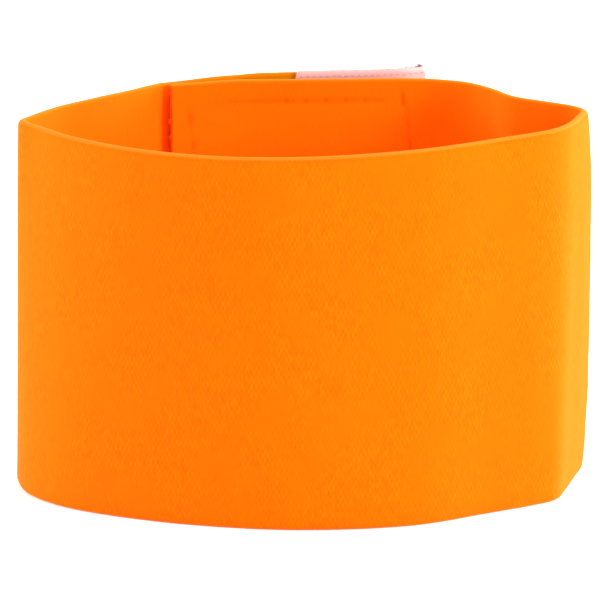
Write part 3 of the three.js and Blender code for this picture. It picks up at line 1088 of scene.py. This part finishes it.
def build_frays(sizes, colours):
    """Loose yarn ends at the strip's two cut ends."""
    strip, _ = strip_routes()
    last = len(strip.names) - 1
    random = np.random.default_rng(21)
    pieces = []
    # Frayed polyester yarn is dull and fine, in the strip's own orange
    yarn = strand_material("Frayed polyester yarn", colours.fray, 0.8, Specular_IOR_Level=0.05)
    singles, lowest, highest, deepest = 150, 1.0 * MM, 69 * MM, 0.6 * MM
    tuft_size, tuft_spread, tuft_depths, rooted = 40, 0.25 * MM, (-0.7 * MM, -0.2 * MM), 0.05
    tufts = {"inner": (63.1, 59.8, 41, 22), "outer": (66, 48, 31, 9)}
    for name, along, way in (("inner", 0.0, -1), ("outer", 1.0, 1)):
        heights = list(random.uniform(lowest, highest, singles))
        depths = list(random.uniform(-deepest, deepest, singles))
        for tuft in tufts[name]:
            heights += list(random.normal(tuft * MM, tuft_spread, tuft_size))
            depths += list(random.uniform(*tuft_depths, tuft_size))
        spots = [(along, height / STRIP_WIDTH) for height in heights]
        points, outs, runs = surface_spots(strip, 0, last, spots, 0.0, 1)
        runs /= np.linalg.norm(runs, axis=1)[:, None]
        points += outs * np.array(depths)[:, None] - runs * way * rooted * MM
        values = {
            "Start": (0, 0, 0),
            "Start Handle": (0, 0, sizes.fray_length * 0.4),
            "End Handle": (sizes.fray_length * 0.1, 0, sizes.fray_length * 0.8),
            "End": (sizes.fray_length * 0.4, 0, sizes.fray_length),
            "Radius": 0.05 * MM,
            "Steps": 6,
            "Sides": 5,
            "Turn": math.pi,
            "Lean": 0.35,
            "Smallest": 0.25,
            "Largest": 1.0,
            "Seed": 13,
            "Material": yarn,
        }
        pieces.append(scattered(f"{name}_end_fray", points, runs * way, outs, values))
    rest_on_root(pieces)
    return pieces


# The stage

CAMERA_TARGET = Vector((-0.64, -3.4, 35.49)) * MM
CAMERA_DISTANCE = 2.0
CAMERA_ELEVATION = math.radians(15)
CAMERA_LENS = 650.0
SOFTBOXES = [
    Softbox("right_front_low", 58, 15, 1.0, 0.2, 0.2, 4.3),
    Softbox("right_front", 58, 24, 1.0, 0.2, 0.2, 2.7),
    Softbox("right", 75, 24, 1.0, 0.2, 0.2, 1.9),
    Softbox("right_high", 75, 33, 1.0, 0.2, 0.2, 1.7),
    Softbox("left_front_high", -50, 45, 1.0, 0.5, 0.5, 2.0),
    Softbox("left", -100, 12, 1.0, 0.5, 0.5, 12.0),
    Softbox("right_back", 118, 12, 1.0, 0.5, 0.5, 18.8),
]


def direction(azimuth, elevation):
    """The direction from the band at an azimuth, 0 on the camera's side and 90 on the right."""
    level = math.cos(elevation)
    return Vector((math.sin(azimuth) * level, -math.cos(azimuth) * level, math.sin(elevation)))


def build_stage(sizes, colours):
    """The paper floor, the white surroundings, the softboxes and the camera."""
    scene = bpy.context.scene
    floor_mesh = bpy.data.meshes.new("floor")
    reach = 4.0
    corners = [(-reach, -reach, 0), (reach, -reach, 0), (reach, reach, 0), (-reach, reach, 0)]
    floor_mesh.from_pydata(corners, [], [(0, 1, 2, 3)])
    floor_mesh.materials.append(paper_sweep(colours))
    floor = placed_object("floor", floor_mesh)

    world = bpy.data.worlds.new("White studio")
    world.use_nodes = True
    background = world.node_tree.nodes["Background"].inputs
    background["Color"].default_value = (1, 1, 1, 1)
    background["Strength"].default_value = colours.surround
    scene.world = world

    for box in SOFTBOXES:
        data = bpy.data.lights.new(f"softbox_{box.name}", "AREA")
        data.shape = "RECTANGLE"
        data.size, data.size_y = box.width, box.height
        data.energy = box.watts
        light = placed_object(data.name, data)
        away = direction(math.radians(box.azimuth), math.radians(box.elevation))
        light.location = CAMERA_TARGET + away * box.distance
        light.rotation_euler = away.to_track_quat("Z", "Y").to_euler()
        light.visible_camera = False

    camera_data = bpy.data.cameras.new("camera")
    camera_data.lens = CAMERA_LENS
    camera_data.sensor_width = 36.0
    camera = placed_object("camera", camera_data)
    away = direction(0, CAMERA_ELEVATION)
    camera.location = CAMERA_TARGET + away * CAMERA_DISTANCE
    camera.rotation_euler = away.to_track_quat("Z", "Y").to_euler()
    scene.camera = camera
    scene.view_settings.view_transform = "Standard"
    return floor


# The add-on


def length_property(name, description, default):
    """A size, in metres."""
    kind = {"subtype": "DISTANCE", "unit": "LENGTH", "precision": 5}
    return bpy.props.FloatProperty(name=name, description=description, default=default, **kind)


def colour_property(name, description, default):
    """A colour, given as an sRGB hex value and kept linear."""
    kind = {"size": 3, "min": 0, "max": 1, "subtype": "COLOR"}
    return bpy.props.FloatVectorProperty(
        name=name, description=description, default=linear(default), **kind
    )


class ArmbandSizes(bpy.types.PropertyGroup):
    """Sizes of the armband's cloth, thread and closure"""

    thickness: length_property("Strip Thickness", "Thickness of the woven elastic", STRIP_THICKNESS)
    rib_pitch: length_property("Rib Pitch", "Distance from one crosswise rib to the next", 0.445 * MM)
    rib_height: length_property("Rib Height", "How far a rib rises above its middle height", 0.012 * MM)
    dash_pitch: length_property("Dash Pitch", "Distance from one float of a rib to the next", 1.73 * MM)
    weave_depth: length_property("Weave Depth", "Depth of the yarns' relief on the ribs", 0.008 * MM)
    stitch_length: length_property("Stitch Length", "Distance between needle holes", 3.7 * MM)
    stitch_depth: length_property("Stitch Depth", "How deep a stitch pulls the elastic in", 0.22 * MM)
    thread_width: length_property("Thread Width", "Thickness of the sewing thread", 0.28 * MM)
    seam_inset: length_property("Seam Inset", "From the patch's ends to its stitches", 0.5 * MM)
    pile_pitch: length_property("Pile Pitch", "Distance between the patch's loops", 0.95 * MM)
    pile_height: length_property("Pile Height", "Height of the patch's loops", 0.42 * MM)
    hook_pitch: length_property("Hook Pitch", "Distance between hooks along the tape", 1.15 * MM)
    hook_row: length_property("Hook Row", "Distance between rows of hooks", 1.3 * MM)
    hook_height: length_property("Hook Height", "Height of a hook above the tape", 0.42 * MM)
    tape_yarn: length_property("Tape Yarn", "From a yarn of the tape to the next but one", 0.7 * MM)
    fray_length: length_property("Fray Length", "Length of the loose yarn ends", 0.7 * MM)


class ArmbandColours(bpy.types.PropertyGroup):
    """Colours of the armband and its stage"""

    elastic: colour_property("Elastic", "Orange of the raised yarns", "#FB6701")
    elastic_dark: colour_property("Elastic Grooves", "Deeper orange between the yarns", "#F95201")
    # Painted highlight: this paler, yellower orange along the edge stands for the highlight on the rim
    selvedge: colour_property("Selvedge", "Paler orange of the closely woven edge", "#FB6E16")
    # Painted shade: this brown inside the outer end's upper edge stands for the shade between the two
    # layers
    handled: colour_property("Handled Edge", "Brown of the upper edge inside the outer end", "#BE6C01")
    fray: colour_property("Fray", "Orange of the loose yarn ends", "#FD5E18")
    pile: colour_property("Pile", "Orange of the loop patch", "#F45A02")
    # Painted shade: this brown in the stitches' dents and needle holes stands for the shade in those
    # hollows
    needle_hole_shade: colour_property("Needle Holes", "Brown of the cloth pulled in by a stitch", "#AC4901")
    thread: colour_property("Thread", "Orange of the sewing thread", "#F75C01")
    tape: colour_property("Tape", "Pink of the hook tape", "#C59694")
    # Painted light: this paler pink along the tab's upper edge stands for the light that falls there
    tape_lit_edge: colour_property("Tape Edge", "Paler pink along the tape's upper edge", "#E6B8B4")
    hooks: colour_property("Hooks", "Nylon of the hooks", "#C59694")
    filament: colour_property("Filament", "Grey of the tape's loose filaments", "#8E8487")
    floor: colour_property("Floor", "White of the paper", "#F7F7F7")
    fuzz_tint: colour_property("Fuzz Tint", "Tint of the elastic's sheen", "#FFC46E")
    fuzz: bpy.props.FloatProperty(
        name="Fuzz", description="Strength of the elastic's pale sheen", default=0.2, min=0, max=1
    )
    surround: bpy.props.FloatProperty(
        name="Surround", description="Strength of the white surroundings", default=1.0, min=0
    )


def settings():
    """The scene's sizes and colours of the armband."""
    scene = bpy.context.scene
    return scene.armband_sizes, scene.armband_colours


class ARMBAND_OT_strip(bpy.types.Operator):
    """Build the strip of woven elastic"""

    bl_idname = "armband.strip"
    bl_label = "Elastic Strip"

    def execute(self, context):
        build_strip(*settings())
        return {"FINISHED"}


class ARMBAND_OT_patch(bpy.types.Operator):
    """Build the loop patch with its pile"""

    bl_idname = "armband.patch"
    bl_label = "Loop Patch"

    def execute(self, context):
        build_patch(*settings())
        return {"FINISHED"}


class ARMBAND_OT_tape(bpy.types.Operator):
    """Build the hook tape with its hooks"""

    bl_idname = "armband.tape"
    bl_label = "Hook Tape"

    def execute(self, context):
        build_tape(*settings())
        return {"FINISHED"}


class ARMBAND_OT_stitching(bpy.types.Operator):
    """Sew the patch and the tape to the strip"""

    bl_idname = "armband.stitching"
    bl_label = "Stitching"

    def execute(self, context):
        build_stitching(*settings())
        return {"FINISHED"}


class ARMBAND_OT_frays(bpy.types.Operator):
    """Fray the strip's cut ends"""

    bl_idname = "armband.frays"
    bl_label = "Frayed Ends"

    def execute(self, context):
        build_frays(*settings())
        return {"FINISHED"}


class ARMBAND_OT_stage(bpy.types.Operator):
    """Set up the floor, the lights and the camera"""

    bl_idname = "armband.stage"
    bl_label = "Stage"

    def execute(self, context):
        build_stage(*settings())
        return {"FINISHED"}


class ARMBAND_PT_panel(bpy.types.Panel):
    """The armband's sizes, colours and pieces"""

    bl_idname = "ARMBAND_PT_panel"
    bl_label = "Armband"
    bl_space_type = "VIEW_3D"
    bl_region_type = "UI"
    bl_category = "Armband"

    def draw(self, context):
        for group in settings():
            for key in group.__annotations__:
                self.layout.prop(group, key)
        for operator in OPERATORS:
            self.layout.operator(operator.bl_idname)


OPERATORS = (
    ARMBAND_OT_strip,
    ARMBAND_OT_patch,
    ARMBAND_OT_tape,
    ARMBAND_OT_stitching,
    ARMBAND_OT_frays,
    ARMBAND_OT_stage,
)
CLASSES = (ArmbandSizes, ArmbandColours, *OPERATORS, ARMBAND_PT_panel)


def register():
    """Makes the settings, the operators and the panel known to Blender."""
    for cls in CLASSES:
        bpy.utils.register_class(cls)
    bpy.types.Scene.armband_sizes = bpy.props.PointerProperty(type=ArmbandSizes)
    bpy.types.Scene.armband_colours = bpy.props.PointerProperty(type=ArmbandColours)


def unregister():
    """Takes them away again."""
    del bpy.types.Scene.armband_colours
    del bpy.types.Scene.armband_sizes
    for cls in reversed(CLASSES):
        bpy.utils.unregister_class(cls)


def declare_sheet():
    """Measures how long the strip is at the middle of its height; the length is not used further."""
    strip, _ = strip_routes()
    length = wall_length(strip, 0, len(strip.names) - 1)


def main():
    register()
    bpy.ops.armband.strip()
    bpy.ops.armband.patch()
    bpy.ops.armband.tape()
    bpy.ops.armband.stitching()
    bpy.ops.armband.frays()
    bpy.ops.armband.stage()
    declare_sheet()


if __name__ == "__main__":
    main()
